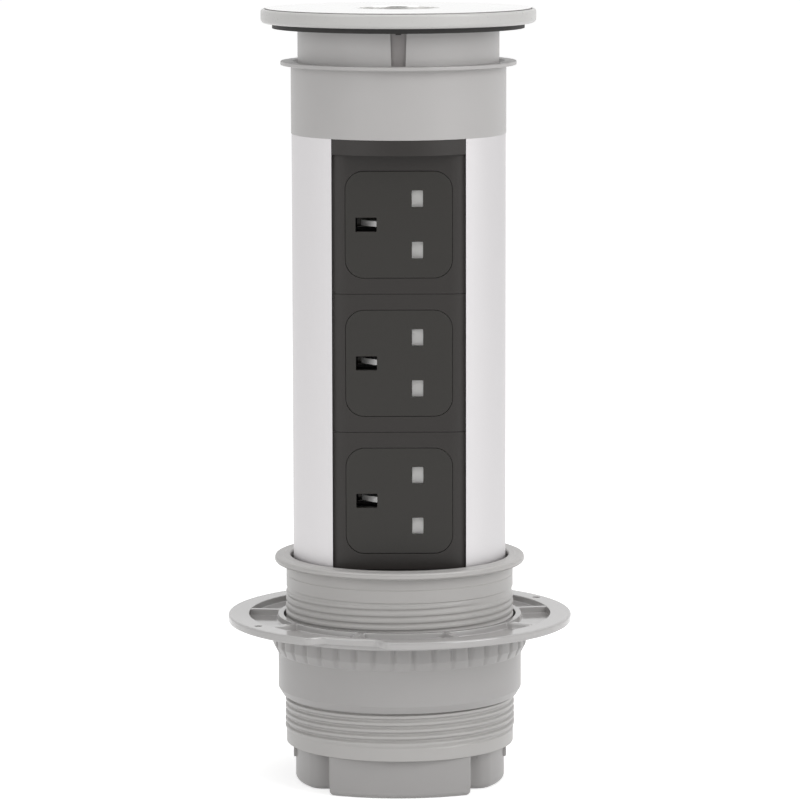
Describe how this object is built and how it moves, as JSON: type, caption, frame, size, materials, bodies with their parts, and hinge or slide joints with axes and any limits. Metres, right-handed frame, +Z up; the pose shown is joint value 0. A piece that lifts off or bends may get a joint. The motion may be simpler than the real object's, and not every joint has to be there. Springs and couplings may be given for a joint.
{
  "type": "pop up desk socket",
  "caption": "Round pop up power tower for a worktop: a sprung cap and socket column slide in a threaded sleeve that a ribbed clamp ring and lock nut hold.",
  "frame": {"origin": "centre of the underside of the sleeve's rim, which lies on the worktop", "axes": "+Z up along the column, out of the worktop; the sockets face -Y; +X to their right"},
  "size_m": [0.1516, 0.1516, 0.3412],
  "materials": {
    "grey_abs_sleeve": "moulded satin grey ABS",
    "grey_abs_collar": "silver painted ABS",
    "grey_abs_base": "moulded satin grey ABS",
    "grey_abs_clamp": "moulded semi gloss grey ABS",
    "grey_abs_nut": "moulded satin grey ABS",
    "anodised_aluminium": "satin anodised",
    "dark_module_plastic": "fine texture anthracite",
    "dark_plate_plastic": "fine texture anthracite",
    "black_module_back": "moulded black",
    "shutter_plastic": "moulded light grey",
    "silver_cap": "satin silver",
    "polished_cap_plate": "gloss white",
    "button_plastic": "satin pale grey",
    "black_rubber": "matt",
    "acetal": "turned black acetal",
    "terminal_polyamide": "moulded natural",
    "brass": "pressed sheet",
    "zinc_steel": "bright zinc plated",
    "spring_steel": "drawn wire"
  },
  "bodies": {
    "sleeve": {"sleeve": "grey_abs_sleeve", "wiper_ring": "black_rubber", "guide_ring": "acetal"},
    "column": {"column_extrusion": "anodised_aluminium", "collar": "grey_abs_collar", "neck_guide": "acetal", "top_spacer": "dark_module_plastic", "bottom_spacer": "dark_module_plastic", "base": "grey_abs_base", "base_screws": "zinc_steel", "collar_screws": "zinc_steel", "cable_gland": "black_rubber", "terminal_block": "terminal_polyamide", "earth_busbar": "brass", "live_busbar": "brass", "neutral_busbar": "brass", "catch_post": "zinc_steel", "handle_spring": "spring_steel", "module_frame_1": "dark_module_plastic", "socket_plate_1": "dark_plate_plastic", "module_back_1": "black_module_back", "earth_contact_1": "brass", "live_contact_1": "brass", "neutral_contact_1": "brass", "shutter_spring_1": "spring_steel", "module_frame_2": "dark_module_plastic", "socket_plate_2": "dark_plate_plastic", "module_back_2": "black_module_back", "earth_contact_2": "brass", "live_contact_2": "brass", "neutral_contact_2": "brass", "shutter_spring_2": "spring_steel", "module_frame_3": "dark_module_plastic", "socket_plate_3": "dark_plate_plastic", "module_back_3": "black_module_back", "earth_contact_3": "brass", "live_contact_3": "brass", "neutral_contact_3": "brass", "shutter_spring_3": "spring_steel"},
    "handle": {"cap_body": "silver_cap", "cap_plate": "polished_cap_plate", "cap_seal": "black_rubber", "neck": "grey_abs_collar", "catch_clip": "zinc_steel", "handle_screws": "zinc_steel", "button_spring": "spring_steel"},
    "button": {"release_button": "button_plastic"},
    "shutter_1": {"shutter_1": "shutter_plastic"},
    "shutter_2": {"shutter_2": "shutter_plastic"},
    "shutter_3": {"shutter_3": "shutter_plastic"},
    "clamp": {"clamp_ring": "grey_abs_clamp"},
    "nut": {"lock_nut": "grey_abs_nut"}
  },
  "joints": [
    {"name": "column_slide", "type": "slide", "parent": "sleeve", "child": "column", "axis": [0, 0, 1], "range_m": [-0.2155, 0]},
    {"name": "handle_slide", "type": "slide", "parent": "column", "child": "handle", "axis": [0, 0, 1], "range_m": [-0.014, 0], "stiffness_N_per_m": 400, "springref_m": 0.012, "deforming": ["handle_spring"]},
    {"name": "button_press", "type": "slide", "parent": "handle", "child": "button", "axis": [0, 0, 1], "range_m": [-0.002, 0], "stiffness_N_per_m": 600, "springref_m": 0.002, "deforming": ["button_spring"]},
    {"name": "nut_turn", "type": "hinge", "parent": "clamp", "child": "nut", "pos_m": [0, 0, 0], "axis": [0, 0, 1], "range_deg": [-6000, 1440]},
    {"name": "clamp_slide", "type": "slide", "parent": "sleeve", "child": "clamp", "axis": [0, 0, 1], "range_m": [-0.0501, 0.0121]},
    {"name": "shutter_slide_1", "type": "slide", "parent": "column", "child": "shutter_1", "axis": [1, 0, 0], "range_m": [0, 0.006], "stiffness_N_per_m": 120, "springref_m": -0.004, "deforming": ["shutter_spring_1"]},
    {"name": "shutter_slide_2", "type": "slide", "parent": "column", "child": "shutter_2", "axis": [1, 0, 0], "range_m": [0, 0.006], "stiffness_N_per_m": 120, "springref_m": -0.004, "deforming": ["shutter_spring_2"]},
    {"name": "shutter_slide_3", "type": "slide", "parent": "column", "child": "shutter_3", "axis": [1, 0, 0], "range_m": [0, 0.006], "stiffness_N_per_m": 120, "springref_m": -0.004, "deforming": ["shutter_spring_3"]}
  ],
  "couplings": [
    {"joint": "clamp_slide", "follows": "nut_turn", "m_per_rad": 0.00047746}
  ]
}
